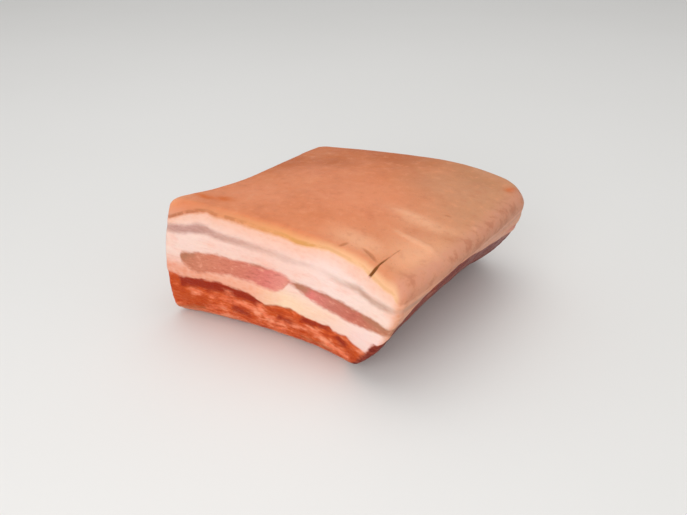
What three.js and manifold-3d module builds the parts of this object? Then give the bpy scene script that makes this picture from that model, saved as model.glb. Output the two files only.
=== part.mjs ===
// A boneless slab of raw pork belly that lies with its rind up: skin, fat and lean in one thick piece.
// Lengths are in millimetres. +Z is up, through the rind, and the long cut face looks towards -Y.
import * as THREE from "three";
import { mergeVertices } from "three/addons/utils/BufferGeometryUtils.js";
import Module from "manifold-3d";

// The lists below go round the slab anticlockwise, as seen from above. Corners: front left, front right,
// back right, back left. Edges: front, right, back, left.
const SKIN_CORNERS = [[-61, -65], [64.5, -58.5], [74.5, 57.5], [-59, 57.5]];
const MEAT_CORNERS = [[-60.5, -70], [39.5, -60.5], [47.5, 67], [-58.5, 58]];
const CORNER_HEIGHTS = [62.5, 51, 55.5, 52.5];

// How far the middle of an edge stands out from a straight line, and how far its two halves snake about that.
const SKIN_BOWS = [-2, 5, 5.5, -7.5];
const SKIN_WAVES = [2, 1, 4, 2.5];
const MEAT_BOWS = [-6, -13, 10.5, 1];
const MEAT_WAVES = [0.5, -1, 2.5, -3.5];

// How far each wall bellies out half way up (in, where negative), and how far the rind rises between opposite edges.
const WALL_BULGES = [7, 8.5, 1, -1];
const RIND_CROWN_X = 4.5;
const RIND_CROWN_Y = 1;

// Rounding of the upright corners, as a share of half a side, and of the edges round the rind, at its corners,
// and round the underside.
const CORNER_ROUNDING = [0.06, 0.05, 0.26, 0.09];
const RIND_EDGE_RADII = [3.5, 4, 6.5, 5.5];
const MEAT_EDGE_RADIUS = 7;

// A short knife cut that climbs over the front edge of the rind, near its right end.
const CUT_MIDDLE = [49, -55.5, 53.5];
const CUT_LENGTH = 13;
const CUT_WIDTH = 2;
const CUT_DEPTH = 3.5;
const CUT_HEADING = THREE.MathUtils.degToRad(64);
const CUT_CLIMB = THREE.MathUtils.degToRad(32);

const SKIN_COLOUR = 0xe0a07c;
const SKIN_ROUGHNESS = 0.45;

// Facets along X, Y and Z. The rounded edges take the outer rows of the walls.
const COLUMNS = 30;
const ROWS = 28;
const WALL_ROWS = 18;
const EDGE_ROWS = 4;
const EDGE_SHARE = EDGE_ROWS / WALL_ROWS;

// Half the sides of the plan, which turn an edge radius into a share of a side.
const HALF_WIDTH = 66;
const HALF_DEPTH = 60;

// Brings the peak of t (1 - t) (1 - 2t) to one.
const WAVE_PEAK = 6 * Math.sqrt(3);

// The value at (u, v) between four corner values, with u from left to right and v from front to back.
function betweenCorners(values, u, v) {
  const [frontLeft, frontRight, backRight, backLeft] = values;
  const front = THREE.MathUtils.lerp(frontLeft, frontRight, u);
  const back = THREE.MathUtils.lerp(backLeft, backRight, u);
  return THREE.MathUtils.lerp(front, back, v);
}

// A point of one bowed and waved edge of the plan, t of the way from start to end.
function edgePoint(start, end, bow, wave, t) {
  const along = end.clone().sub(start);
  const outward = new THREE.Vector2(along.y, -along.x).normalize();
  const push = 4 * bow * t * (1 - t) + WAVE_PEAK * wave * t * (1 - t) * (1 - 2 * t);
  return start.clone().addScaledVector(along, t).addScaledVector(outward, push);
}

// A point of the plan between four curved edges: a Coons patch.
function patchPoint(cornerPairs, bows, waves, u, v) {
  const corners = cornerPairs.map(([x, y]) => new THREE.Vector2(x, y));
  const [frontLeft, frontRight, backRight, backLeft] = corners;
  const front = edgePoint(frontLeft, frontRight, bows[0], waves[0], u);
  const right = edgePoint(frontRight, backRight, bows[1], waves[1], v);
  const back = edgePoint(backRight, backLeft, bows[2], waves[2], 1 - u);
  const left = edgePoint(backLeft, frontLeft, bows[3], waves[3], 1 - v);
  const straightX = betweenCorners(corners.map((corner) => corner.x), u, v);
  const straightY = betweenCorners(corners.map((corner) => corner.y), u, v);
  const acrossRows = front.lerp(back, v);
  const acrossColumns = left.lerp(right, u);
  return acrossRows.add(acrossColumns).sub(new THREE.Vector2(straightX, straightY));
}

// Moves a point of the square from -1 to 1 into the same square with rounded corners.
function roundCorners(a, b) {
  const ring = Math.max(Math.abs(a), Math.abs(b));
  if (ring === 0) return [0, 0];
  const x = a / ring;
  const y = b / ring;
  const radius = betweenCorners(CORNER_ROUNDING, (x + 1) / 2, (y + 1) / 2);
  const nearX = THREE.MathUtils.clamp(x, radius - 1, 1 - radius);
  const nearY = THREE.MathUtils.clamp(y, radius - 1, 1 - radius);
  const offset = new THREE.Vector2(x - nearX, y - nearY).setLength(radius);
  return [(nearX + offset.x) * ring, (nearY + offset.y) * ring];
}

// Moves a point of the cube from -1 to 1 onto the slab.
function slabPoint(a, b, c) {
  const [x, y] = roundCorners(a, b);
  const rise = (c + 1) / 2;
  const lowTurn = THREE.MathUtils.clamp(rise / EDGE_SHARE, 0, 1) * (Math.PI / 2);
  const highTurn = THREE.MathUtils.clamp((1 - rise) / EDGE_SHARE, 0, 1) * (Math.PI / 2);
  const rindRadius = betweenCorners(RIND_EDGE_RADII, (x + 1) / 2, (y + 1) / 2);
  const inset = MEAT_EDGE_RADIUS * (1 - Math.sin(lowTurn)) + rindRadius * (1 - Math.sin(highTurn));
  const u = (x * (1 - inset / HALF_WIDTH) + 1) / 2;
  const v = (y * (1 - inset / HALF_DEPTH) + 1) / 2;

  const crown = 4 * RIND_CROWN_X * u * (1 - u) + 4 * RIND_CROWN_Y * v * (1 - v);
  const thickness = betweenCorners(CORNER_HEIGHTS, u, v) + crown;
  const straightShare = THREE.MathUtils.clamp((rise - EDGE_SHARE) / (1 - 2 * EDGE_SHARE), 0, 1);
  const straightWall = (thickness - MEAT_EDGE_RADIUS - rindRadius) * straightShare;
  const z = MEAT_EDGE_RADIUS * (1 - Math.cos(lowTurn)) + straightWall + rindRadius * Math.cos(highTurn);

  const height = z / thickness;
  const skin = patchPoint(SKIN_CORNERS, SKIN_BOWS, SKIN_WAVES, u, v);
  const meat = patchPoint(MEAT_CORNERS, MEAT_BOWS, MEAT_WAVES, u, v);
  const plan = meat.lerp(skin, height);
  const belly = 4 * height * (1 - height);
  const [frontBulge, rightBulge, backBulge, leftBulge] = WALL_BULGES;
  plan.x += belly * (rightBulge * u ** 3 - leftBulge * (1 - u) ** 3);
  plan.y += belly * (backBulge * v ** 3 - frontBulge * (1 - v) ** 3);
  return new THREE.Vector3(plan.x, plan.y, z);
}

// The uncut slab: a cube whose grid points are moved onto the slab one by one.
function slabGeometry() {
  const geometry = new THREE.BoxGeometry(2, 2, 2, COLUMNS, ROWS, WALL_ROWS);
  const positions = geometry.getAttribute("position");
  for (let i = 0; i < positions.count; i += 1) {
    const point = slabPoint(positions.getX(i), positions.getY(i), positions.getZ(i));
    positions.setXYZ(i, point.x, point.y, point.z);
  }
  return geometry;
}

// The nick that a knife's tip leaves in the rind: a long four-sided pyramid, point down and half above the
// rind, so that it is as long and as wide as it should be where it meets the rind.
function knifeCutGeometry() {
  const geometry = new THREE.ConeGeometry(1, 2, 4);
  geometry.rotateX(-Math.PI / 2);
  geometry.scale(CUT_LENGTH, CUT_WIDTH, CUT_DEPTH);
  geometry.rotateY(-CUT_CLIMB);
  geometry.rotateZ(CUT_HEADING);
  geometry.translate(...CUT_MIDDLE);
  return geometry;
}

// A closed geometry as a solid that can be cut.
function solidFrom(wasm, geometry) {
  geometry.deleteAttribute("normal");
  geometry.deleteAttribute("uv");
  const merged = mergeVertices(geometry);
  return new wasm.Manifold(
    new wasm.Mesh({
      numProp: 3,
      vertProperties: new Float32Array(merged.getAttribute("position").array),
      triVerts: new Uint32Array(merged.index.array),
    }),
  );
}

// The surface of a solid as a geometry with its underside on the ground, centred below its box.
function groundedGeometry(solid) {
  const surface = solid.getMesh();
  const geometry = new THREE.BufferGeometry();
  geometry.setAttribute("position", new THREE.BufferAttribute(surface.vertProperties, surface.numProp));
  geometry.setIndex(new THREE.BufferAttribute(surface.triVerts, 1));
  geometry.computeBoundingBox();
  const middle = geometry.boundingBox.getCenter(new THREE.Vector3());
  geometry.translate(-middle.x, -middle.y, -geometry.boundingBox.min.z);
  geometry.computeVertexNormals();
  return geometry;
}

const wasm = await Module();
wasm.setup();

const cutSlab = solidFrom(wasm, slabGeometry()).subtract(solidFrom(wasm, knifeCutGeometry()));
const slab = new THREE.Mesh(
  groundedGeometry(cutSlab),
  new THREE.MeshStandardMaterial({ color: SKIN_COLOUR, roughness: SKIN_ROUGHNESS, metalness: 0 }),
);
slab.name = "pork_belly";

const part = new THREE.Group();
part.add(slab);

export default part;
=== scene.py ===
"""A raw pork belly slab, rind up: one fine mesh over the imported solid, with rind, fat and lean by depth."""

import math

import bpy
import numpy as np
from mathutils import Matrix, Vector


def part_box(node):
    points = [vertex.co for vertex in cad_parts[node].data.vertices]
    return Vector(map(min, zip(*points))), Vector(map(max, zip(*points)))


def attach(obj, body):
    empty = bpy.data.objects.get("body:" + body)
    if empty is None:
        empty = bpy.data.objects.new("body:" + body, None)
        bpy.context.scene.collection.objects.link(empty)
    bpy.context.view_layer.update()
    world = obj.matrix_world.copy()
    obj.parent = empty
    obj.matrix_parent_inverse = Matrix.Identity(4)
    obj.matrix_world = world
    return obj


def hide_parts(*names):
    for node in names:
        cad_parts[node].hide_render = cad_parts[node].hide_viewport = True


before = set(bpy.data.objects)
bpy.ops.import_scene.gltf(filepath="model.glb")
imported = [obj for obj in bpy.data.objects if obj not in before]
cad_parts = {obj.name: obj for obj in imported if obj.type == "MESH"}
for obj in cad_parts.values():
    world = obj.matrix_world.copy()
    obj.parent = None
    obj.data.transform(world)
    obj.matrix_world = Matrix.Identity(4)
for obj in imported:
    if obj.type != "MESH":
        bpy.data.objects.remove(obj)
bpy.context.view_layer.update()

MM = 0.001

# The form, in millimetres, as in the solid. The lists go round the slab anticlockwise, seen from above.
# Corners: front left, front right, back right, back left. Edges: front, right, back, left.
SKIN_CORNERS = [(-61, -65), (64.5, -58.5), (74.5, 57.5), (-59, 57.5)]
MEAT_CORNERS = [(-60.5, -70), (39.5, -60.5), (47.5, 67), (-58.5, 58)]
CORNER_HEIGHTS = [62.5, 51, 55.5, 52.5]
# How far the middle of an edge stands out from a straight line, and how far its two halves snake about that.
SKIN_BOWS = [-2, 5, 5.5, -7.5]
SKIN_WAVES = [2, 1, 4, 2.5]
MEAT_BOWS = [-6, -13, 10.5, 1]
MEAT_WAVES = [0.5, -1, 2.5, -3.5]
# How far each wall bellies out half way up, and how far the rind rises between opposite edges.
FRONT_BULGE, RIGHT_BULGE, BACK_BULGE, LEFT_BULGE = 7, 8.5, 1, -1
RIND_CROWN_X = 4.5
RIND_CROWN_Y = 1
# Rounding of the upright corners, as a share of half a side, and of the edges round the rind, at its corners,
# and round the underside.
CORNER_ROUNDING = [0.06, 0.05, 0.26, 0.09]
RIND_EDGE_RADII = [3.5, 4, 6.5, 5.5]
MEAT_EDGE_RADIUS = 7
# Half the sides of the plan, which turn an edge radius into a share of a side.
HALF_WIDTH = 66
HALF_DEPTH = 60
# Brings the peak of t (1 - t) (1 - 2t) to one.
WAVE_PEAK = 6 * math.sqrt(3)

# The fine mesh: quads along X, Y and Z, closest together round the knife cut and along the front edge. Places
# and spreads are in the cube from -1 to 1, and a density of one doubles the lines.
COLUMNS = 168
ROWS = 150
WALL_ROWS = 70
EDGE_ROWS = 14
EDGE_SHARE = EDGE_ROWS / WALL_ROWS
CUT_COLUMN = 0.75
CUT_SPREAD = 0.07
CUT_DENSITY = 1.6
FRONT_ROW = -1
FRONT_SPREAD = 0.12
FRONT_DENSITY = 0.8

# A mean thickness and width, which turn shares of the height and of the front edge into millimetres.
THICKNESS = 55
WIDTH = 128

# The layers' pattern is laid along the front edge, from 0 at its left end to 1 at its right. Elsewhere its
# place is the share of the width plus PATTERN_SLANT times the share of the depth, and past 1 it turns back.
PATTERN_SLANT = 0.6
# Behind the front face its places and heights wander, fully so from the second of these shares of the depth.
FREE_RANGE = (0.02, 0.25)
PATTERN_WANDER = 0.06
HEIGHT_WANDER = 0.022

# The layers on the front face: how far along the edge (0 left, 1 right), and how high (0 underside, 1 rind).
# Where the rind begins: along, height.
RIND_BORDER = [
    (0, 0.84), (0.03, 0.856), (0.09, 0.902), (0.13, 0.93), (0.2, 0.962), (0.24, 0.946), (0.3, 0.949),
    (0.4, 0.942), (0.52, 0.942), (0.58, 0.931), (0.62, 0.938), (0.7, 0.966), (0.78, 0.957), (0.84, 0.95),
    (0.88, 0.925), (0.93, 0.9), (1, 0.9),
]
# The thin streak of lean under the rind: along, height of its middle, half its thickness in millimetres.
THIN_LEAN = [
    (0, 0.79, 1.4), (0.06, 0.799, 1.7), (0.11, 0.811, 1.7), (0.165, 0.84, 1.9), (0.215, 0.848, 1.6),
    (0.26, 0.826, 1.3), (0.33, 0.823, 1.4), (0.46, 0.818, 1.2), (0.595, 0.81, 1.1), (0.66, 0.822, 0.8),
    (0.785, 0.802, 1.1), (0.845, 0.811, 1.3), (0.9, 0.784, 1.2), (0.94, 0.786, 1.4), (1, 0.8, 1),
]
# How plainly the thin streak shows: along, strength.
THIN_STRENGTH = [
    (0, 0.75), (0.06, 0.95), (0.2, 0.95), (0.35, 0.7), (0.48, 0.45), (0.62, 0.35), (0.69, 0.12),
    (0.78, 0.45), (0.87, 0.8), (0.95, 0.7), (1, 0.3),
]
# The middle streak: along, top and bottom. There is none where the top is below the bottom.
MIDDLE_LEAN = [
    (0, 0.57, 0.62), (0.092, 0.59, 0.605), (0.1, 0.632, 0.562), (0.15, 0.652, 0.502), (0.2, 0.67, 0.496),
    (0.27, 0.684, 0.523), (0.34, 0.683, 0.545), (0.45, 0.697, 0.54), (0.5, 0.695, 0.52),
    (0.545, 0.692, 0.52), (0.575, 0.686, 0.56), (0.598, 0.66, 0.632), (0.612, 0.662, 0.632),
    (0.64, 0.664, 0.603), (0.69, 0.664, 0.573), (0.75, 0.668, 0.545), (0.8, 0.664, 0.533),
    (0.85, 0.654, 0.528), (0.92, 0.656, 0.55), (1, 0.645, 0.575),
]
# The thick streak at the bottom: along, top.
BOTTOM_LEAN = [
    (0, 0.45), (0.06, 0.432), (0.1, 0.42), (0.19, 0.441), (0.26, 0.453), (0.32, 0.452), (0.36, 0.438),
    (0.43, 0.43), (0.465, 0.405), (0.512, 0.366), (0.56, 0.4), (0.625, 0.417), (0.66, 0.403), (0.7, 0.386),
    (0.765, 0.386), (0.795, 0.412), (0.817, 0.372), (0.87, 0.386), (0.906, 0.348), (0.955, 0.33), (1, 0.31),
]

# On the right wall lean climbs nearly to the rind, and sinks again to the back: from front to back, height.
SIDE_LEAN = [
    (0, 0.46), (0.03, 0.6), (0.1, 0.74), (0.2, 0.82), (0.34, 0.87), (0.44, 0.85), (0.6, 0.72), (0.8, 0.62),
    (1, 0.56),
]
# It begins at this share of the width. In the back quarter of the depth it runs further to the left by
# SIDE_RUN_ON, sinks by SIDE_TAPER times the distance from SIDE_TAPER_END, and has a softer end.
SIDE_LEAN_START = 0.964
BACK_RANGE = (0.75, 1)
SIDE_RUN_ON = 0.42
SIDE_TAPER = 1.15
SIDE_TAPER_END = 0.97
SIDE_END_SOFTNESS = 0.8
# The middle streak keeps this many millimetres clear of it, fully so from the second share of the depth.
SIDE_SEAM = 2.5
SEAM_RANGE = (0.1, 0.3)
# On the right wall, which begins between these shares of the width, the rind starts at this height, or with a
# little fat above the lean where that is higher.
RIGHT_RANGE = (0.96, 0.99)
RIGHT_RIND_BORDER = 0.86
RIGHT_FAT = 0.012
# From RIND_EDGE in from the walls the rind counts as deeper, millimetre by millimetre and by RIND_REACH at
# most, so that its cut edge shows only near them.
RIND_EDGE = 0.5
RIND_REACH = 12

# Soft marks in the lean: along and height of one end and the other, and half the thickness in millimetres.
SALMON_STREAKS = [
    (0.143, 0.301, 0.179, 0.292, 1), (0.24, 0.289, 0.341, 0.302, 0.5), (0.315, 0.375, 0.353, 0.346, 0.3),
    (0.21, 0.16, 0.3, 0.184, 0.6), (0.285, 0.088, 0.366, 0.114, 0.6), (0.37, 0.31, 0.47, 0.26, 1.4),
    (0.431, 0.276, 0.479, 0.217, 1.8), (0.49, 0.306, 0.55, 0.211, 2), (0.555, 0.19, 0.639, 0.23, 0.9),
    (0.56, 0.155, 0.612, 0.162, 1), (0.639, 0.23, 0.703, 0.272, 0.9), (0.703, 0.272, 0.761, 0.263, 0.9),
    (0.764, 0.239, 0.831, 0.184, 1.5), (0.831, 0.184, 0.925, 0.142, 1.4), (0.948, 0.328, 0.967, 0.321, 1),
]
DARK_STREAKS = [
    (0.1, 0.385, 0.236, 0.4, 3), (0.236, 0.4, 0.384, 0.4, 2.8), (0.384, 0.4, 0.47, 0.37, 2.4),
    (0.356, 0.217, 0.422, 0.2, 1.5), (0.593, 0.274, 0.638, 0.254, 1.5), (0.686, 0.352, 0.741, 0.342, 1.8),
    (0.765, 0.359, 0.8, 0.386, 1.4), (0.84, 0.334, 0.882, 0.275, 1.6),
]
ORANGE_STREAKS = [
    (0.01, 0.4, 0.104, 0.36, 2.4), (0.02, 0.26, 0.19, 0.2, 4.2), (0.548, 0.32, 0.6, 0.33, 1.6),
    (0.637, 0.266, 0.697, 0.239, 1.6), (0.718, 0.264, 0.739, 0.206, 1), (0.908, 0.26, 0.956, 0.2, 1.8),
]
BROWN_STREAKS = [
    (0.03, 0.083, 0.196, 0.14, 1), (0.71, 0.153, 0.84, 0.144, 1), (0.504, 0.36, 0.56, 0.395, 0.8),
    (0.56, 0.395, 0.625, 0.405, 0.8), (0.62, 0.655, 0.665, 0.625, 1.8), (0.09, 0.585, 0.16, 0.64, 1.2),
    (0.43, 0.693, 0.5, 0.69, 0.9), (0.66, 0.66, 0.76, 0.664, 1), (0.76, 0.664, 0.85, 0.65, 0.8),
    (0.9, 0.64, 0.99, 0.625, 1.6),
]

# Where the rind's cut edge shows a brown or an olive line, and how strongly: along, strength.
BROWN_LINE = [(0, 0.4), (0.05, 0.8), (0.17, 0.8), (0.2, 0.3), (0.23, 0.6), (0.34, 0.55), (0.4, 0.2), (1, 0.1)]
OLIVE_LINE = [
    (0, 0), (0.4, 0.12), (0.5, 0.2), (0.55, 0.7), (0.64, 0.65), (0.69, 0.15), (0.86, 0.15), (1, 0.15),
]

# Creases of the rind in plan, in millimetres: where they run, how high they stand, or how deep they are where
# that is negative, and half their width.
CREASES = [
    ([(26, -14.6), (33.5, -11.6), (43.4, -11.7), (53.7, -15.1)], 0.3, 2.8),
    ([(40, -27.6), (47.7, -29), (55.7, -29.5), (61.2, -30.6), (66.9, -32.3)], 0.5, 2.3),
    ([(51.1, -38.6), (57.5, -33), (66.5, -36)], -0.1, 1.4),
    ([(29.5, -54.5), (31.4, -48.5)], -0.3, 1.1),
    ([(37.5, -48.5), (43, -50), (48, -52.6)], -0.32, 1.1),
    ([(52.4, -0.9), (56.9, 0.1)], -0.2, 1.2),
    ([(66.5, -1.6), (70.5, -2)], 0.4, 2.6),
]
# Each rises and falls as a half turn of a sine, without this share at either end.
CREASE_END = 0.12
CREASE_WOBBLE = 0.5

# The knife cut over the front edge of the rind: its points from the lower to the upper end.
CUT_LINE = [
    (47.3, -59, 50), (48.5, -57.5, 52.2), (49.1, -55.5, 53.8), (49.4, -52, 54.8), (50.3, -46.1, 55.6),
    (51.2, -38.8, 55.9),
]
# How far it gapes, as a share of its most: share of its length, gape.
CUT_GAPE = [(0, 0.35), (0.1, 0.9), (0.35, 1), (0.55, 0.6), (0.7, 0.42), (1, 0.22)]
CUT_DEPTH = 1.5
CUT_HALF_WIDTH = 0.9
# The half width where it doesn't gape, as a share of the greatest.
CUT_SLIT_SHARE = 0.45

# Relief of the surface, in millimetres.
BROAD_WAVES = 0.35
SMALL_WAVES = 0.14
FINE_WRINKLES = 0.04
LEAN_RECESS = 0.4
THIN_LEAN_RECESS = 0.2
CUT_FACE_GRAIN = 0.1
LEAN_GRAIN = 0.14
# Where relief begins and is full, in millimetres into the rind, the two thick streaks and the thin streak.
RIND_RANGE = (-1, 1.2)
LEAN_RANGE = (-0.8, 1.2)
THIN_RANGE = (-0.6, 0.6)
# The underside's looks reach up the rounded edge to the first height, in millimetres, and get weaker over the
# second one below the edge's top.
UNDERSIDE_TOP = 3
UNDERSIDE_FADE = 5

# The hollows on the underside where the ribs lay, in millimetres, and how much they slant. Folds of the
# membrane lie all over it.
RIB_SPACING = 27
RIB_SLANT = 0.18
RIB_HOLLOW = 1.1
FOLD_DEPTH = 0.5

# Soft patches of the rind in plan: middle, and two half sizes along X and Y, in millimetres.
WARM_PATCHES = [((10, -15), (34, 22)), ((-22, 5), (22, 26)), ((-30, -38), (26, 18))]
BROWN_PATCHES = [
    ((-31, 24), (19, 12)), ((1, 42), (16, 12)), ((46, 46), (16, 9)), ((-46, 8), (16, 26)),
    ((10, 50), (40, 8)),
]
# The pale patches are painted light: a brightening of the rind near its front edge and along a crease.
PAINTED_LIGHT_PATCHES = [((34, -46), (14, 8)), ((58, -38), (15, 14)), ((48, -13), (16, 5)), ((-61, -60), (7, 9))]
BURNT_PATCHES = [((-37, -52), (4.5, 3)), ((-46, -54.5), (8, 2)), ((67, 47), (2.6, 4))]
# How strong the brown patches are, and how far patches are pushed about, in millimetres.
BROWN_PATCH_STRENGTH = 0.7
PATCH_WOBBLE = 3
BURNT_WOBBLE = 1.2
# Tan comes in to the right, and brown to the back left: from and to, in millimetres, and the slant.
TAN_RANGE = (8, 66)
TAN_SLANT = 0.3
BROWN_RANGE = (0, 90)
BROWN_SLANT = 0.6
BROWN_STRENGTH = 0.75
TINT_WANDER = 8
# Where the pinkish rim of the rind begins and is full, as shares of the width and of the depth.
RIGHT_RIM = (0.92, 0.99)
BACK_RIM = (0.965, 1)
BACK_RIM_STRENGTH = 0.8
# Where the right wall's tints, some of them painted shade, begin and are full, as shares of the width.
RIGHT_WALL = (0.972, 0.998)
# The heights between which the lower fat goes over into the upper.
FAT_CHANGE = (0.48, 0.64)

# The smooth noises: size of the bumps in millimetres, and seed.
NOISES = {
    "pattern": (24, 3),
    "rind height": (22, 5), "thin height": (22, 6), "middle height": (22, 7), "bottom height": (22, 8),
    "side height": (22, 9),
    "blotch": (26, 11), "patch x": (11, 12), "patch y": (11, 13), "burnt": (5, 14),
    "broad waves": (28, 21), "small waves": (9, 22), "wrinkles": (2.6, 23),
    "crease x": (4, 24), "crease y": (4, 25),
    "cut face": (5, 32), "lean": (2.4, 33), "folds": (7, 41),
    "streak along": (6, 51), "streak up": (5, 52),
}

# Tones of the layers by place along the front edge, as display colours from 0 to 255.
UPPER_FAT_TONES = [
    (0.05, (232, 200, 188)), (0.5, (231, 188, 173)), (0.75, (234, 206, 197)), (1, (232, 200, 184)),
]
LOWER_FAT_TONES = [
    (0.05, (222, 142, 112)), (0.25, (226, 152, 122)), (0.45, (232, 162, 132)), (0.6, (240, 205, 170)),
    (0.78, (239, 198, 174)), (0.9, (237, 204, 196)),
]
THIN_TONES = [(0.1, (190, 144, 134)), (0.4, (190, 142, 126)), (0.8, (184, 144, 124))]
MIDDLE_TONES = [
    (0.1, (186, 116, 88)), (0.24, (203, 124, 98)), (0.4, (202, 117, 97)), (0.5, (213, 120, 109)),
    (0.57, (221, 140, 126)), (0.64, (184, 120, 100)), (0.69, (215, 120, 112)), (0.77, (194, 116, 100)),
    (0.87, (191, 106, 88)), (0.98, (184, 122, 94)),
]
RIND_EDGE_TONES = [
    (0.02, (214, 150, 126)), (0.12, (208, 132, 96)), (0.3, (212, 142, 98)), (0.55, (224, 160, 104)),
    (0.75, (236, 186, 140)), (0.95, (236, 188, 146)),
]
# Tones of the thick lean by the level of its marbling.
BOTTOM_TONES = [(0.15, (152, 36, 8)), (0.4, (190, 68, 18)), (0.55, (208, 92, 44)), (0.72, (232, 128, 86))]
# The right wall's tones are its lean's red, darkened further with painted shade of the undercut wall.
SIDE_TONES_WITH_PAINTED_SHADE = [(0.2, (92, 24, 16)), (0.5, (122, 40, 26)), (0.8, (158, 72, 50))]

# How ragged, how soft and how finely ragged each border in the material is, in millimetres.
BORDERS = {
    "rind": (1.2, 0.8, 0.6), "thin": (1.6, 1.1, 0.7), "middle": (2.6, 1, 1.1), "bottom": (2.4, 0.9, 1),
    "side": (3, 1.4, 0.9), "salmon": (6, 2, 2.6), "dark": (4, 1.7, 2), "orange": (4, 1.9, 2),
    "brown": (2, 1.2, 1.2),
}

# In metres.
FLOOR_HALF_SIDE = 3.0


def between_corners(values, u, v):
    """The value at (u, v) between four corner values, u from left to right and v from front to back."""
    front = values[0] * (1 - u) + values[1] * u
    back = values[3] * (1 - u) + values[2] * u
    return front * (1 - v) + back * v


def edge_points(start, end, bow, wave, t):
    """Points of one bowed and waved edge of the plan, t of the way from start to end."""
    along = np.subtract(end, start)
    outward = np.array([along[1], -along[0]]) / np.hypot(*along)
    push = 4 * bow * t * (1 - t) + WAVE_PEAK * wave * t * (1 - t) * (1 - 2 * t)
    return np.array(start) + along * t[:, None] + outward * push[:, None]


def patch_points(corners, bows, waves, u, v):
    """Points of the plan between four curved edges: a Coons patch."""
    front = edge_points(corners[0], corners[1], bows[0], waves[0], u)
    right = edge_points(corners[1], corners[2], bows[1], waves[1], v)
    back = edge_points(corners[2], corners[3], bows[2], waves[2], 1 - u)
    left = edge_points(corners[3], corners[0], bows[3], waves[3], 1 - v)
    u, v = u[:, None], v[:, None]
    straight = between_corners(np.array(corners, float), u, v)
    return front * (1 - v) + back * v + left * (1 - u) + right * u - straight


def round_corners(a, b):
    """Moves points of the square from -1 to 1 into the same square with rounded corners."""
    ring = np.maximum(np.abs(a), np.abs(b))
    divisor = np.where(ring == 0, 1, ring)
    x = a / divisor
    y = b / divisor
    radius = between_corners(CORNER_ROUNDING, (x + 1) / 2, (y + 1) / 2)
    near_x = np.clip(x, radius - 1, 1 - radius)
    near_y = np.clip(y, radius - 1, 1 - radius)
    above_zero = 1e-9
    length = np.maximum(np.hypot(x - near_x, y - near_y), above_zero)
    rounded_x = near_x + radius * (x - near_x) / length
    rounded_y = near_y + radius * (y - near_y) / length
    return rounded_x * ring, rounded_y * ring


def slab_points(a, b, c):
    """Moves points of the cube from -1 to 1 onto the slab, and finds their shares of its three extents."""
    x, y = round_corners(a, b)
    rise = (c + 1) / 2
    low_turn = np.clip(rise / EDGE_SHARE, 0, 1) * math.pi / 2
    high_turn = np.clip((1 - rise) / EDGE_SHARE, 0, 1) * math.pi / 2
    rind_radius = between_corners(RIND_EDGE_RADII, (x + 1) / 2, (y + 1) / 2)
    inset = MEAT_EDGE_RADIUS * (1 - np.sin(low_turn)) + rind_radius * (1 - np.sin(high_turn))
    u = (x * (1 - inset / HALF_WIDTH) + 1) / 2
    v = (y * (1 - inset / HALF_DEPTH) + 1) / 2

    crown = 4 * RIND_CROWN_X * u * (1 - u) + 4 * RIND_CROWN_Y * v * (1 - v)
    thickness = between_corners(CORNER_HEIGHTS, u, v) + crown
    straight_share = np.clip((rise - EDGE_SHARE) / (1 - 2 * EDGE_SHARE), 0, 1)
    straight_wall = (thickness - MEAT_EDGE_RADIUS - rind_radius) * straight_share
    z = MEAT_EDGE_RADIUS * (1 - np.cos(low_turn)) + straight_wall + rind_radius * np.cos(high_turn)

    height = z / thickness
    skin = patch_points(SKIN_CORNERS, SKIN_BOWS, SKIN_WAVES, u, v)
    meat = patch_points(MEAT_CORNERS, MEAT_BOWS, MEAT_WAVES, u, v)
    plan = meat * (1 - height[:, None]) + skin * height[:, None]
    belly = 4 * height * (1 - height)
    plan[:, 0] += belly * (RIGHT_BULGE * u**3 - LEFT_BULGE * (1 - u) ** 3)
    plan[:, 1] += belly * (BACK_BULGE * v**3 - FRONT_BULGE * (1 - v) ** 3)
    return np.column_stack([plan, z]), u, v, height


def spread_lines(count, middle, spread, density):
    """count + 1 grid lines from -1 to 1, closer together round one place."""
    fine_steps = 2000
    at = np.linspace(-1, 1, fine_steps + 1)
    weight = 1 + density * np.exp(-(((at - middle) / spread) ** 2))
    total = np.concatenate([[0], np.cumsum((weight[1:] + weight[:-1]) / 2)])
    return np.interp(np.linspace(0, total[-1], count + 1), total, at)


def cube_surface():
    """The surface of a cube from -1 to 1 as grid points and outward quads that share them."""
    shape = (COLUMNS + 1, ROWS + 1, WALL_ROWS + 1)
    shell = np.zeros(shape, bool)
    shell[[0, -1]] = shell[:, [0, -1]] = shell[:, :, [0, -1]] = True
    index = np.full(shape, -1)
    index[shell] = np.arange(shell.sum())
    i, j, k = np.nonzero(shell)
    a = spread_lines(COLUMNS, CUT_COLUMN, CUT_SPREAD, CUT_DENSITY)[i]
    b = spread_lines(ROWS, FRONT_ROW, FRONT_SPREAD, FRONT_DENSITY)[j]
    c = np.linspace(-1, 1, WALL_ROWS + 1)[k]

    def quads(sheet):
        return np.stack([sheet[:-1, :-1], sheet[1:, :-1], sheet[1:, 1:], sheet[:-1, 1:]], -1).reshape(-1, 4)

    outward = [quads(index[:, :, -1]), quads(index[:, 0, :]), quads(index[-1, :, :])]
    inward = [quads(index[:, :, 0]), quads(index[:, -1, :]), quads(index[0, :, :])]
    return a, b, c, np.concatenate(outward + [sheet[:, ::-1] for sheet in inward])


def point_normals(points, quads):
    """Unit normals of the grid points, from the quads round them."""
    corners = points[quads]
    across = np.cross(corners[:, 2] - corners[:, 0], corners[:, 3] - corners[:, 1])
    normals = np.zeros_like(points)
    for corner in range(4):
        np.add.at(normals, quads[:, corner], across)
    return normals / np.linalg.norm(normals, axis=1, keepdims=True)


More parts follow.
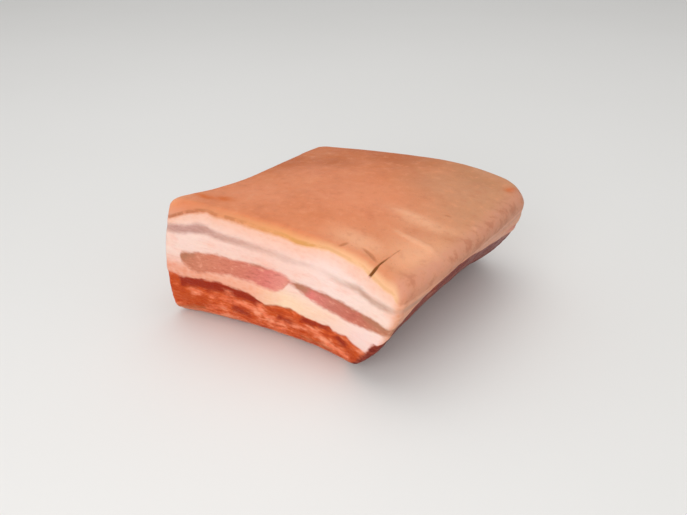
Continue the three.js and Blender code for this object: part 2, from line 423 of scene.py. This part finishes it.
def smooth_noise(points, use):
    """Smooth noise from -1 to 1, from a seeded lattice of random values that is the use's own."""
    size, seed = NOISES[use]
    side = 64
    keep_positive = 1000
    lattice = np.random.default_rng(seed).uniform(-1, 1, (side, side, side))
    cell = points / size + keep_positive
    low = np.floor(cell).astype(int)
    share = cell - low
    share = share * share * (3 - 2 * share)
    total = 0
    for dx in (0, 1):
        for dy in (0, 1):
            for dz in (0, 1):
                step = np.array([dx, dy, dz])
                weight = np.prod(np.where(step, share, 1 - share), axis=1)
                x, y, z = ((low + step) % side).T
                total = total + weight * lattice[x, y, z]
    return total


def wobbly_plan(points, reach, use):
    """Where the points are in plan, pushed about by up to reach in X and in Y."""
    wobble = [smooth_noise(points, f"{use} x"), smooth_noise(points, f"{use} y")]
    return points[:, :2] + reach * np.column_stack(wobble)


def soft_step(value, low, high):
    """0 below low, 1 above high and a smooth rise between them."""
    t = np.clip((value - low) / (high - low), 0, 1)
    return t * t * (3 - 2 * t)


def along_stations(stations, s):
    """The columns of a list of stations at the places s, with straight lines between the stations."""
    table = np.array(stations, float)
    return [np.interp(s, table[:, 0], table[:, column]) for column in range(1, table.shape[1])]


def distance_to_line(points, start, end):
    """Distance from points to the straight line between two points, and how far along it they are."""
    start, end = np.array(start, float), np.array(end, float)
    line = end - start
    t = np.clip((points - start) @ line / (line @ line), 0, 1)
    return np.linalg.norm(points - start - t[:, None] * line, axis=1), t


def distance_to_path(points, path):
    """Distance from points to a path of straight lines, and how far along it, from 0 to 1, they are."""
    far_away = 1e3
    nearest = np.full(len(points), far_away)
    share = np.zeros(len(points))
    for number, (start, end) in enumerate(zip(path, path[1:])):
        distance, t = distance_to_line(points, start, end)
        closer = distance < nearest
        nearest[closer] = distance[closer]
        share[closer] = (number + t[closer]) / (len(path) - 1)
    return nearest, share


def place_along(points, u, v):
    """The place along the layers' pattern, and how freely the layers wander there, 0 to 1."""
    freedom = soft_step(v, *FREE_RANGE)
    wander = PATTERN_WANDER * freedom * smooth_noise(points * [1, 1, 0.3], "pattern")
    return 1 - np.abs(1 - (u + PATTERN_SLANT * v + wander)), freedom


def rind_field(u, v, height, s, side_top, wander):
    """How far inside the rind each point is, in millimetres."""
    on_right = soft_step(u, *RIGHT_RANGE)
    (front_border,) = along_stations(RIND_BORDER, s)
    right_border = np.maximum(side_top + RIGHT_FAT, RIGHT_RIND_BORDER)
    border = front_border * (1 - on_right) + right_border * on_right
    from_side = np.minimum(u, 1 - u) * 2 * HALF_WIDTH
    from_front_or_back = np.minimum(v, 1 - v) * 2 * HALF_DEPTH
    inward = np.minimum(from_front_or_back, from_side)
    deeper = np.clip(inward - RIND_EDGE, 0, RIND_REACH)
    return (height - border - wander) * THICKNESS + deeper


def side_field(u, v, height, side_top, wander):
    """How far inside the right wall's lean each point is, in millimetres."""
    at_back = soft_step(v, *BACK_RANGE)
    start = SIDE_LEAN_START - SIDE_RUN_ON * at_back
    taper = SIDE_TAPER * at_back * np.clip(SIDE_TAPER_END - u, 0, 1)
    below_top = (side_top - taper + wander - height) * THICKNESS
    past_start = (u - start) * WIDTH * (1 - SIDE_END_SOFTNESS * at_back)
    return np.minimum(below_top, past_start)


def layer_fields(points, u, v, height, s, freedom):
    """Signed distances in millimetres into the rind, each streak of lean and the right wall's lean."""
    def wander(use):
        return HEIGHT_WANDER * freedom * smooth_noise(points * [1, 1, 0.2], use)

    (side_top,) = along_stations(SIDE_LEAN, v)
    rind = rind_field(u, v, height, s, side_top, wander("rind height"))
    side = side_field(u, v, height, side_top, wander("side height"))

    thin_middle, thin_half = along_stations(THIN_LEAN, s)
    thin = thin_half - np.abs(height - thin_middle - wander("thin height")) * THICKNESS
    middle_top, middle_bottom = along_stations(MIDDLE_LEAN, s)
    shift = wander("middle height")
    middle = np.minimum(middle_top + shift - height, height - middle_bottom - shift) * THICKNESS
    near_front = 1 - soft_step(v, *SEAM_RANGE)
    clear_of_side = -side - SIDE_SEAM + THICKNESS * near_front
    (bottom_top,) = along_stations(BOTTOM_LEAN, s)
    bottom = (bottom_top + wander("bottom height") - height) * THICKNESS
    return rind, thin, np.minimum(middle, clear_of_side), np.maximum(bottom, side), side


def streak_field(points, s, height, streaks):
    """How far inside the nearest of some soft streaks each point is, in millimetres."""
    wobble_along, wobble_up = 1.6, 0.9
    far_outside = -20.0
    flat = np.column_stack([s * WIDTH, height * THICKNESS])
    flat[:, 0] += wobble_along * smooth_noise(points, "streak along")
    flat[:, 1] += wobble_up * smooth_noise(points, "streak up")
    inside = np.full(len(s), far_outside)
    for s0, h0, s1, h1, half in streaks:
        distance, _ = distance_to_line(flat, (s0 * WIDTH, h0 * THICKNESS), (s1 * WIDTH, h1 * THICKNESS))
        inside = np.maximum(inside, half - distance)
    return inside


def patches(plan, spots):
    """How much each point of the plan lies in some soft patches, 0 to 1."""
    total = np.zeros(len(plan))
    for middle, size in spots:
        total = np.maximum(total, np.exp(-((((plan - middle) / size) ** 2).sum(1))))
    return total


def rind_tints(points):
    """How much the rind is tan, brown, warm, pale with painted light, and burnt at each point, each 0 to 1.
    """
    blotch = TINT_WANDER * smooth_noise(points, "blotch")
    plan = wobbly_plan(points, PATCH_WOBBLE, "patch")
    x, y = plan.T
    tan = soft_step(x + TAN_SLANT * y + blotch, *TAN_RANGE)
    back_left = soft_step(y - BROWN_SLANT * x + blotch, *BROWN_RANGE)
    brown = BROWN_STRENGTH * back_left + BROWN_PATCH_STRENGTH * patches(plan, BROWN_PATCHES)
    warm = patches(plan, WARM_PATCHES)
    pale = patches(plan, PAINTED_LIGHT_PATCHES)
    pushed = points[:, :2] + BURNT_WOBBLE * smooth_noise(points, "burnt")[:, None]
    burnt = patches(pushed, BURNT_PATCHES)
    return np.clip([tan, brown, warm, pale, burnt], 0, 1)


def crease_relief(points):
    """Height of the rind's creases, in millimetres."""
    relief = np.zeros(len(points))
    plan = wobbly_plan(points, CREASE_WOBBLE, "crease")
    for path, most, half_width in CREASES:
        distance, share = distance_to_path(plan, path)
        along = np.sin(math.pi * (CREASE_END + (1 - 2 * CREASE_END) * share))
        relief += most * along * np.exp(-((distance / half_width) ** 2))
    return relief


def cut_depth(points):
    """Depth of the knife cut, in millimetres below the rind: widest and deepest near its lower end."""
    distance, share = distance_to_path(points, CUT_LINE)
    (gape,) = along_stations(CUT_GAPE, share)
    half_width = CUT_HALF_WIDTH * (CUT_SLIT_SHARE + (1 - CUT_SLIT_SHARE) * gape)
    return CUT_DEPTH * gape * np.clip(1 - distance / half_width, 0, 1)


def meat_relief(points, lean, thin):
    """Height of the cut faces' relief: coarse grain, with the lean drawn back a little between the fat."""
    flattened = points * [1, 1, 3]
    recess = -LEAN_RECESS * lean - THIN_LEAN_RECESS * soft_step(thin, *THIN_RANGE)
    coarse = CUT_FACE_GRAIN * smooth_noise(flattened, "cut face")
    fine = LEAN_GRAIN * lean * smooth_noise(flattened, "lean")
    return recess + coarse + fine


def underside_relief(points):
    """Depth of the underside's hollows where the ribs lay, and of its folds."""
    across_ribs = points[:, 0] + RIB_SLANT * points[:, 1]
    ribs = 0.5 + 0.5 * np.cos(2 * math.pi * across_ribs / RIB_SPACING)
    folds = 0.5 + 0.5 * smooth_noise(points, "folds")
    return RIB_HOLLOW * ribs**3 + FOLD_DEPTH * folds


def surface_relief(points, rind, thin, lean, under):
    """Height of all the relief, in millimetres, and that of the creases and the depth of the knife cut."""
    on_rind = soft_step(rind, *RIND_RANGE)
    broad = BROAD_WAVES * smooth_noise(points, "broad waves")
    waves = broad + SMALL_WAVES * smooth_noise(points, "small waves")
    wrinkles = FINE_WRINKLES * smooth_noise(points, "wrinkles")
    creases = on_rind * (crease_relief(points) + wrinkles)
    cut = cut_depth(points)
    relief = waves + creases - cut
    relief += (1 - on_rind) * (1 - under) * meat_relief(points, lean, thin)
    return relief * (1 - under) - under * underside_relief(points), creases, cut


def add_fields(mesh, fields):
    """Puts the fields on the mesh's points, three to an attribute."""
    for name, values in fields.items():
        attribute = mesh.attributes.new(name, "FLOAT_VECTOR", "POINT")
        attribute.data.foreach_set("vector", np.column_stack(values).astype(np.float32).ravel())


def frame_shift(points):
    """The move, in metres, that brings the form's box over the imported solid's."""
    low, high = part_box("pork_belly")
    middle = (low + high) / 2
    middle_of_form = (points.min(0) + points.max(0)) / 2 * MM
    return Vector((middle.x - middle_of_form[0], middle.y - middle_of_form[1], 0))


def slab_mesh():
    """The slab's fine mesh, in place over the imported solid, with its fields as attributes of the points."""
    a, b, c, quads = cube_surface()
    points, u, v, height = slab_points(a, b, c)
    s, freedom = place_along(points, u, v)
    rind, thin, middle, bottom, side = layer_fields(points, u, v, height, s, freedom)

    lean = np.maximum(soft_step(middle, *LEAN_RANGE), soft_step(bottom, *LEAN_RANGE))
    above_ground = points[:, 2]
    near_ground = 1 - soft_step(above_ground, 0, UNDERSIDE_TOP)
    under = near_ground * soft_step(MEAT_EDGE_RADIUS - above_ground, 0, UNDERSIDE_FADE)
    relief, creases, cut = surface_relief(points, rind, thin, lean, under)
    moved = points + point_normals(points, quads) * relief[:, None]
    moved[:, 2] = np.maximum(moved[:, 2], 0)

    shift = frame_shift(points)
    mesh = bpy.data.meshes.new("pork_belly_slab")
    mesh.from_pydata((moved * MM + np.array(shift)).tolist(), [], quads.tolist())
    mesh.shade_smooth()

    lower_fat = 1 - soft_step(height, *FAT_CHANGE)
    on_right = soft_step(u, *RIGHT_WALL)
    rim = soft_step(u, *RIGHT_RIM) + BACK_RIM_STRENGTH * soft_step(v, *BACK_RIM)
    tan, brown, warm, pale, burnt = rind_tints(points)
    streaks = [SALMON_STREAKS, DARK_STREAKS, ORANGE_STREAKS, BROWN_STREAKS]
    salmon, dark, orange, brown_streaks = [streak_field(points, s, height, kind) for kind in streaks]
    strengths = [BROWN_LINE, OLIVE_LINE, THIN_STRENGTH]
    brown_line, olive_line, thin_strength = [along_stations(stations, s)[0] for stations in strengths]
    add_fields(mesh, {
        "block": (points[:, 0], points[:, 1], height * THICKNESS),
        "layers": (rind, thin, middle),
        "lean": (bottom, side, salmon),
        "lean_tones": (dark, orange, brown_streaks),
        "places": (s, lower_fat, under),
        "rind_tints": (tan, brown, warm),
        "rind_marks": (pale, rim, creases),
        "lines": (brown_line, olive_line, thin_strength),
        "edges": (cut, on_right, burnt),
    })
    return mesh, shift


def colour(red, green, blue):
    """A display colour from 0 to 255 as the linear colour that nodes use."""
    shares = [value / 255 for value in (red, green, blue)]
    linear = [c / 12.92 if c <= 0.04045 else ((c + 0.055) / 1.055) ** 2.4 for c in shares]
    return (*linear, 1.0)


def grey(value):
    """A plain value as the grey that a colour mix needs."""
    return (value, value, value, 1.0)


class Shader:
    """A material's node tree, with short calls that each add one node and give its output."""

    def __init__(self, name):
        self.material = bpy.data.materials.new(name)
        self.material.use_nodes = True
        self.tree = self.material.node_tree
        self.surface = self.tree.nodes["Principled BSDF"]

    def node(self, kind, inputs, output=0, **settings):
        node = self.tree.nodes.new(kind)
        for name, value in settings.items():
            setattr(node, name, value)
        for socket, value in inputs.items():
            self.put(node.inputs[socket], value)
        return node.outputs[output]

    def put(self, socket, value):
        if isinstance(value, bpy.types.NodeSocket):
            self.tree.links.new(value, socket)
        else:
            socket.default_value = value

    def field(self, name):
        """A mesh field: its vector, and its three parts."""
        vector = self.node("ShaderNodeAttribute", {}, output="Vector", attribute_name=name)
        parts = self.tree.nodes.new("ShaderNodeSeparateXYZ")
        self.tree.links.new(vector, parts.inputs[0])
        return vector, list(parts.outputs)

    def maths(self, operation, first, second=0.0, third=0.0):
        inputs = {0: first, 1: second, 2: third}
        return self.node("ShaderNodeMath", inputs, operation=operation)

    def times(self, first, second):
        return self.maths("MULTIPLY", first, second)

    def sway(self, value, noise, size):
        """The value, pushed up and down by a noise that has 0.5 as its middle."""
        return self.maths("MULTIPLY_ADD", self.maths("SUBTRACT", noise, 0.5), size, value)

    def stretch(self, vector, scale):
        """The vector, scaled along each axis. A scale above 1 flattens the pattern that it places."""
        return self.node("ShaderNodeMapping", {"Vector": vector, "Scale": scale})

    def noise(self, vector, size, detail=3.0, roughness=0.5, distortion=0.0):
        """Noise from 0 to 1, with bumps about size apart."""
        inputs = {
            "Vector": vector, "Scale": 1 / size, "Detail": detail, "Roughness": roughness,
            "Distortion": distortion,
        }
        return self.node("ShaderNodeTexNoise", inputs, output="Fac")

    def cells(self, vector, size):
        """Distance to the nearest of some scattered points, about size apart."""
        inputs = {"Vector": vector, "Scale": 1 / size}
        return self.node("ShaderNodeTexVoronoi", inputs, output="Distance", feature="F1")

    def rise(self, value, low, high, least=0.0, most=1.0):
        """A smooth change from least to most, while the value goes from low to high."""
        inputs = {"Value": value, "From Min": low, "From Max": high, "To Min": least, "To Max": most}
        return self.node("ShaderNodeMapRange", inputs, interpolation_type="SMOOTHSTEP")

    def ramp(self, value, stops):
        """A run of display colours, each at its own value."""
        node = self.tree.nodes.new("ShaderNodeValToRGB")
        self.put(node.inputs[0], value)
        elements = node.color_ramp.elements
        while len(elements) < len(stops):
            elements.new(0.5)
        for element, (position, tint) in zip(elements, stops):
            element.position = position
            element.color = colour(*tint)
        return node.outputs[0]

    def mix(self, amount, first, second):
        node = self.tree.nodes.new("ShaderNodeMix")
        node.data_type = "RGBA"
        sockets = (node.inputs["Factor"], node.inputs[6], node.inputs[7])
        for socket, value in zip(sockets, (amount, first, second)):
            self.put(socket, value)
        return node.outputs[2]

    def washes(self, base, layers):
        """The base under some display colours, each laid on by its own amount."""
        for amount, tint in layers:
            base = self.mix(amount, base, colour(*tint))
        return base


class PorkShader(Shader):
    """Rind, fat and streaks of lean, told apart by the fields of the mesh."""

    def __init__(self):
        super().__init__("pork")
        self.block, (self.place_x, self.place_y, self.place_z) = self.field("block")
        _, (self.rind_mm, self.thin_mm, self.middle_mm) = self.field("layers")
        _, (self.bottom_mm, self.side_mm, self.salmon_mm) = self.field("lean")
        _, (self.dark_mm, self.orange_mm, self.brown_mm) = self.field("lean_tones")
        _, (self.along, self.lower_fat, self.under) = self.field("places")
        _, (self.tan, self.brown, self.warm) = self.field("rind_tints")
        _, (self.pale, self.rim, self.crease_mm) = self.field("rind_marks")
        _, (self.brown_line, self.olive_line, self.thin_strength) = self.field("lines")
        _, (self.cut_mm, self.on_right, self.burnt) = self.field("edges")

        layered = self.stretch(self.block, (1, 1, 2.6))
        fibred = self.stretch(self.block, (1, 1, 5))
        self.ragged = self.noise(layered, 6, 4, 0.55)
        self.finely_ragged = self.noise(self.stretch(self.block, (1, 1, 1.4)), 1.6, 3, 0.6)
        self.grain = self.noise(fibred, 3.2, 6, 0.65, 0.3)
        self.blotch = self.noise(layered, 3.6, 5, 0.62, 0.4)
        self.cloud = self.noise(layered, 9, 4, 0.6)
        self.fat_cloud = self.noise(layered, 11, 4, 0.55)
        self.lobules = self.cells(self.stretch(self.block, (1, 1, 1.8)), 2.6)
        self.sheets = self.noise(self.stretch(self.block, (0.6, 0.6, 9)), 7, 5, 0.65, 0.4)
        self.seams = self.noise(fibred, 16, 5, 0.6, 0.3)
        self.broad = self.noise(self.block, 20, 5, 0.6)
        self.mottle = self.noise(self.block, 5, 4, 0.6)
        self.pores = self.cells(self.block, 2.2)

        self.rind_mask = self.inside("rind", self.rind_mm)
        self.middle_mask = self.inside("middle", self.middle_mm)
        self.bottom_mask = self.inside("bottom", self.bottom_mm)
        self.brown_marks = self.times(self.inside("brown", self.brown_mm), 0.6)
        self.lean_mask = self.maths("MAXIMUM", self.middle_mask, self.bottom_mask)

    def inside(self, border, distance):
        """1 inside a border and 0 outside, from the signed distance to it."""
        raggedness, softness, fine_raggedness = BORDERS[border]
        pushed = self.sway(distance, self.ragged, raggedness)
        pushed = self.sway(pushed, self.finely_ragged, fine_raggedness)
        return self.rise(pushed, -softness, softness)

    def fat(self):
        """Pinkish white, peach in its lower layer, with lobules and thin sheets along the layers, and a tan
        tint with painted shade on the right wall.
        """
        upper = self.ramp(self.along, UPPER_FAT_TONES)
        lower = self.ramp(self.along, LOWER_FAT_TONES)
        peach_clouds = self.rise(self.fat_cloud, 0.5, 0.75, most=0.4)
        pale_clouds = self.rise(self.fat_cloud, 0.5, 0.25, most=0.35)
        near_rind = self.rise(self.rind_mm, -6, -0.4, most=0.6)
        # On the right wall the fat is washed tan and darker: a tan tint, partly painted shade of the undercut
        # wall.
        right_wall_tan_and_shade = self.times(self.on_right, 0.85)
        lobules = self.rise(self.lobules, 0.1, 0.75, most=0.14)
        sheets = self.rise(self.sheets, 0.55, 0.72, most=0.22)
        return self.washes(self.mix(self.lower_fat, upper, lower), [
            (peach_clouds, (232, 160, 134)),
            (pale_clouds, (238, 206, 194)),
            (near_rind, (230, 168, 136)),
            (right_wall_tan_and_shade, (214, 142, 104)),
            (lobules, (242, 214, 200)),
            (sheets, (214, 146, 126)),
        ])

    def thin_streak(self):
        """Greyish pink, and browner to the right."""
        dark_grain = self.rise(self.grain, 0.6, 0.35, most=0.5)
        return self.washes(self.ramp(self.along, THIN_TONES), [(dark_grain, (164, 116, 104))])

    def middle_streak(self):
        """Dusty orange, rosy and brownish by turns, and marbled."""
        level = self.sway(self.blotch, self.grain, 0.8)
        dark_marbling = self.rise(level, 0.5, 0.22, most=0.5)
        pale_marbling = self.rise(level, 0.52, 0.8, most=0.55)
        return self.washes(self.ramp(self.along, MIDDLE_TONES), [
            (dark_marbling, (160, 80, 62)),
            (pale_marbling, (236, 168, 142)),
            (self.brown_marks, (168, 114, 86)),
        ])

    def marbling(self):
        """The level of the thick lean's marbling, about 0.5: clouds, with blotches and grain within them."""
        clouds = self.sway(0.5, self.cloud, 0.7)
        blotches = self.sway(clouds, self.blotch, 0.8)
        return self.sway(blotches, self.grain, 0.5)

    def bottom_streak(self, level):
        """Deep red, orange red and orange brown in blotches, with salmon where fat runs through."""
        orange_marks = self.times(self.inside("orange", self.orange_mm), 0.65)
        dark_marks = self.times(self.inside("dark", self.dark_mm), 0.92)
        bottom = self.washes(self.ramp(level, BOTTOM_TONES), [
            (orange_marks, (178, 62, 2)),
            (dark_marks, (142, 32, 6)),
            (self.brown_marks, (160, 92, 52)),
        ])
        streaky = self.rise(self.blotch, 0.3, 0.55, least=0.55)
        salmon_marks = self.times(self.inside("salmon", self.salmon_mm), streaky)
        salmon = self.mix(self.rise(self.cloud, 0.4, 0.65), colour(238, 126, 86), colour(244, 160, 124))
        low_down = self.rise(self.place_z, 7, 2.5, most=0.6)
        film = self.times(low_down, self.rise(self.cloud, 0.35, 0.6, least=0.3))
        return self.washes(self.mix(salmon_marks, bottom, salmon), [(film, (222, 150, 116))])

    def side_lean(self, level):
        """The right wall's red lean, darkened with painted shade, with lighter seams along it."""
        seams = self.rise(self.seams, 0.56, 0.7, most=0.6)
        return self.washes(self.ramp(level, SIDE_TONES_WITH_PAINTED_SHADE), [(seams, (186, 104, 78))])

    def underside(self):
        """Lean under a thin whitish membrane, which shows most where the ribs lay."""
        across_ribs = self.maths("MULTIPLY_ADD", self.place_y, RIB_SLANT, self.place_x)
        ribs = self.maths("COSINE", self.times(across_ribs, 2 * math.pi / RIB_SPACING))
        film = self.noise(self.stretch(self.block, (1, 0.6, 1)), 16, 3, 0.5)
        membrane = self.rise(self.maths("MULTIPLY_ADD", ribs, 0.09, film), 0.4, 0.64, most=0.8)
        lean = self.mix(self.rise(self.cloud, 0.3, 0.7), colour(158, 56, 42), colour(196, 92, 70))
        return self.washes(lean, [(membrane, (226, 168, 148))])

    def meat(self):
        """All that isn't rind: fat, the streaks, the right wall's lean and the underside."""
        level = self.marbling()
        thin_mask = self.times(self.inside("thin", self.thin_mm), self.thin_strength)
        side_mask = self.inside("side", self.side_mm)
        thick_lean = self.mix(side_mask, self.bottom_streak(level), self.side_lean(level))
        meat = self.mix(thin_mask, self.fat(), self.thin_streak())
        meat = self.mix(self.middle_mask, meat, self.middle_streak())
        meat = self.mix(self.bottom_mask, meat, thick_lean)
        return self.mix(self.rise(self.under, 0.15, 0.9), meat, self.underside())

    def rind_top(self):
        """Orange, tan to the right and brown at the back left, with creases, a pinkish rim and pores. The
        creases get a painted highlight on their ridges and painted shade in their furrows, and the pale
        patches are painted light.
        """
        warm = self.times(self.warm, 0.6)
        brown_amount = self.times(self.brown, 0.85)
        brown = self.mix(self.tan, colour(184, 100, 56), colour(180, 122, 82))
        skin = self.mix(self.tan, colour(215, 129, 86), colour(200, 141, 104))
        skin = self.mix(brown_amount, self.washes(skin, [(warm, (227, 144, 106))]), brown)

        # Pale patches: painted light near the rind's front edge and along a crease.
        pale = self.times(self.pale, 0.85)
        light_clouds = self.rise(self.broad, 0.42, 0.7, most=0.25)
        dark_clouds = self.rise(self.broad, 0.5, 0.28, most=0.3)
        light_spots = self.rise(self.mottle, 0.52, 0.75, most=0.28)
        dark_spots = self.rise(self.mottle, 0.48, 0.28, most=0.25)
        burnt = self.times(self.burnt, 0.85)
        # Painted highlight on the creases' ridges and painted shade in their furrows.
        painted_crease_highlights = self.rise(self.crease_mm, 0.12, 0.4, most=0.45)
        painted_crease_shade = self.rise(self.crease_mm, -0.06, -0.26, most=0.55)
        rim = self.times(self.rim, self.rise(self.mottle, 0.35, 0.65, least=0.4, most=0.8))
        rim_spots = self.times(self.rim, self.rise(self.mottle, 0.52, 0.36, most=0.35))
        pores = self.rise(self.pores, 0.16, 0.05, most=0.22)
        return self.washes(skin, [
            (pale, (234, 172, 134)),
            (light_clouds, (230, 150, 108)),
            (dark_clouds, (192, 108, 70)),
            (light_spots, (234, 160, 120)),
            (dark_spots, (190, 112, 76)),
            (burnt, (204, 98, 32)),
            (painted_crease_highlights, (240, 178, 140)),
            (painted_crease_shade, (166, 98, 56)),
            (rim, (204, 142, 118)),
            (rim_spots, (168, 98, 76)),
            (pores, (160, 92, 64)),
        ])

    def rind(self):
        """The rind, its tan to yellowish cut edge with a brown or olive line by the fat, and the knife cut,
        darkened with painted shade.
        """
        cut_faces = self.rise(self.on_right, 1, 0)
        edge = self.times(self.rise(self.rind_mm, 6, 0.8, most=0.85), cut_faces)
        skin = self.mix(edge, self.rind_top(), self.ramp(self.along, RIND_EDGE_TONES))

        by_the_fat = self.times(self.rise(self.rind_mm, 2.1, 1.2), self.rise(self.rind_mm, 0, 0.6))
        broken = self.rise(self.ragged, 0.34, 0.52)
        line = self.times(self.times(by_the_fat, cut_faces), broken)
        return self.washes(skin, [
            (self.times(line, self.brown_line), (172, 104, 72)),
            (self.times(line, self.olive_line), (204, 144, 76)),
            # The knife cut washed dark brown: painted shade inside the slit.
            (self.rise(self.cut_mm, 0.04, 0.55), (134, 82, 40)),
        ])

    def roughness(self):
        """Least on moist lean and most on the rind, with wetter and drier spots."""
        meat = self.mix(self.lean_mask, grey(0.46), grey(0.4))
        mean = self.node("ShaderNodeRGBToBW", {0: self.mix(self.rind_mask, meat, grey(0.54))})
        wetness = self.noise(self.block, 9, 4, 0.6)
        return self.maths("ADD", mean, self.rise(wetness, 0.3, 0.7, least=-0.08, most=0.1))

    def bump(self):
        """Wrinkles and pores in the rind, lobules and sheets in the fat, and grain in the lean."""
        wrinkles = self.noise(self.stretch(self.block, (1, 0.45, 1)), 2.4, 5, 0.62, 0.6)
        rind = self.maths("MULTIPLY_ADD", self.rise(self.pores, 0.02, 0.22), 0.35, wrinkles)
        fat = self.maths("MULTIPLY_ADD", self.rise(self.lobules, 0.8, 0.1), 0.35, self.sheets)
        meat = self.mix(self.lean_mask, fat, self.times(self.grain, 1.6))
        inputs = {"Height": self.mix(self.rind_mask, meat, rind), "Strength": 0.5, "Distance": 0.0005}
        return self.node("ShaderNodeBump", inputs, output="Normal")


def pork_material():
    """Moist raw meat and skin, a little translucent."""
    sh = PorkShader()
    inputs = sh.surface.inputs
    sh.put(inputs["Base Color"], sh.mix(sh.rind_mask, sh.meat(), sh.rind()))
    sh.put(inputs["Roughness"], sh.roughness())
    sh.put(inputs["Normal"], sh.bump())
    inputs["Specular IOR Level"].default_value = 0.12
    inputs["Subsurface Weight"].default_value = 0.12
    inputs["Subsurface Radius"].default_value = (1.0, 0.35, 0.2)
    inputs["Subsurface Scale"].default_value = 0.003
    return sh.material


def floor_material():
    """A matt pale surface with a faint unevenness."""
    sh = Shader("floor")
    place = sh.node("ShaderNodeTexCoord", {}, output="Object")
    cloud = sh.noise(place, 0.4, 3)
    tone = sh.mix(cloud, colour(226, 225, 222), colour(232, 231, 229))
    sh.put(sh.surface.inputs["Base Color"], tone)
    sh.surface.inputs["Roughness"].default_value = 0.85
    return sh.material


def add_floor():
    mesh = bpy.data.meshes.new("floor")
    side = FLOOR_HALF_SIDE
    corners = [(-side, -side, 0), (side, -side, 0), (side, side, 0), (-side, side, 0)]
    mesh.from_pydata(corners, [], [(0, 1, 2, 3)])
    mesh.materials.append(floor_material())
    floor = bpy.data.objects.new("floor", mesh)
    bpy.context.scene.collection.objects.link(floor)


def add_light(name, place, target, side, watts):
    """A square lamp that faces the target. Lengths are in metres."""
    light = bpy.data.lights.new(name, "AREA")
    light.size = side
    light.energy = watts
    lamp = bpy.data.objects.new(name, light)
    lamp.location = place
    lamp.rotation_euler = (Vector(target) - Vector(place)).to_track_quat("-Z", "Y").to_euler()
    bpy.context.scene.collection.objects.link(lamp)


def light_the_scene():
    """A soft lamp at the front, one above, and a white world, as in a pale studio."""
    slab_middle = (0, 0, 0.03)
    add_light("key", place=(0.25, -0.8, 0.4), target=slab_middle, side=0.7, watts=4.5)
    add_light("top", place=(-0.1, 0.1, 1.0), target=slab_middle, side=1.0, watts=3)
    world = bpy.data.worlds.new("studio")
    world.use_nodes = True
    background = world.node_tree.nodes["Background"]
    background.inputs["Color"].default_value = (1, 1, 1, 1)
    background.inputs["Strength"].default_value = 0.6
    bpy.context.scene.world = world
    bpy.context.scene.view_settings.view_transform = "Standard"


def add_camera(shift):
    """The photograph's view: from the front right, looking down at 29 degrees."""
    place_mm = Vector((177.28, -272.26, 198.38))
    azimuth, pitch = math.radians(33.66), math.radians(29)
    picture_width, focal_pixels, sensor_mm = 687, 700, 36
    away = Vector((-math.sin(azimuth), math.cos(azimuth), 0))
    look = away * math.cos(pitch) - Vector((0, 0, math.sin(pitch)))
    data = bpy.data.cameras.new("camera")
    data.sensor_width = sensor_mm
    data.lens = sensor_mm * focal_pixels / picture_width
    camera = bpy.data.objects.new("camera", data)
    camera.location = place_mm * MM + shift
    camera.rotation_euler = look.to_track_quat("-Z", "Y").to_euler()
    bpy.context.scene.collection.objects.link(camera)
    bpy.context.scene.camera = camera


slab_data, form_shift = slab_mesh()
slab_data.materials.append(pork_material())
slab = bpy.data.objects.new("pork_belly_slab", slab_data)
bpy.context.scene.collection.objects.link(slab)
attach(slab, "root")
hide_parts("pork_belly")

add_floor()
light_the_scene()
add_camera(form_shift)
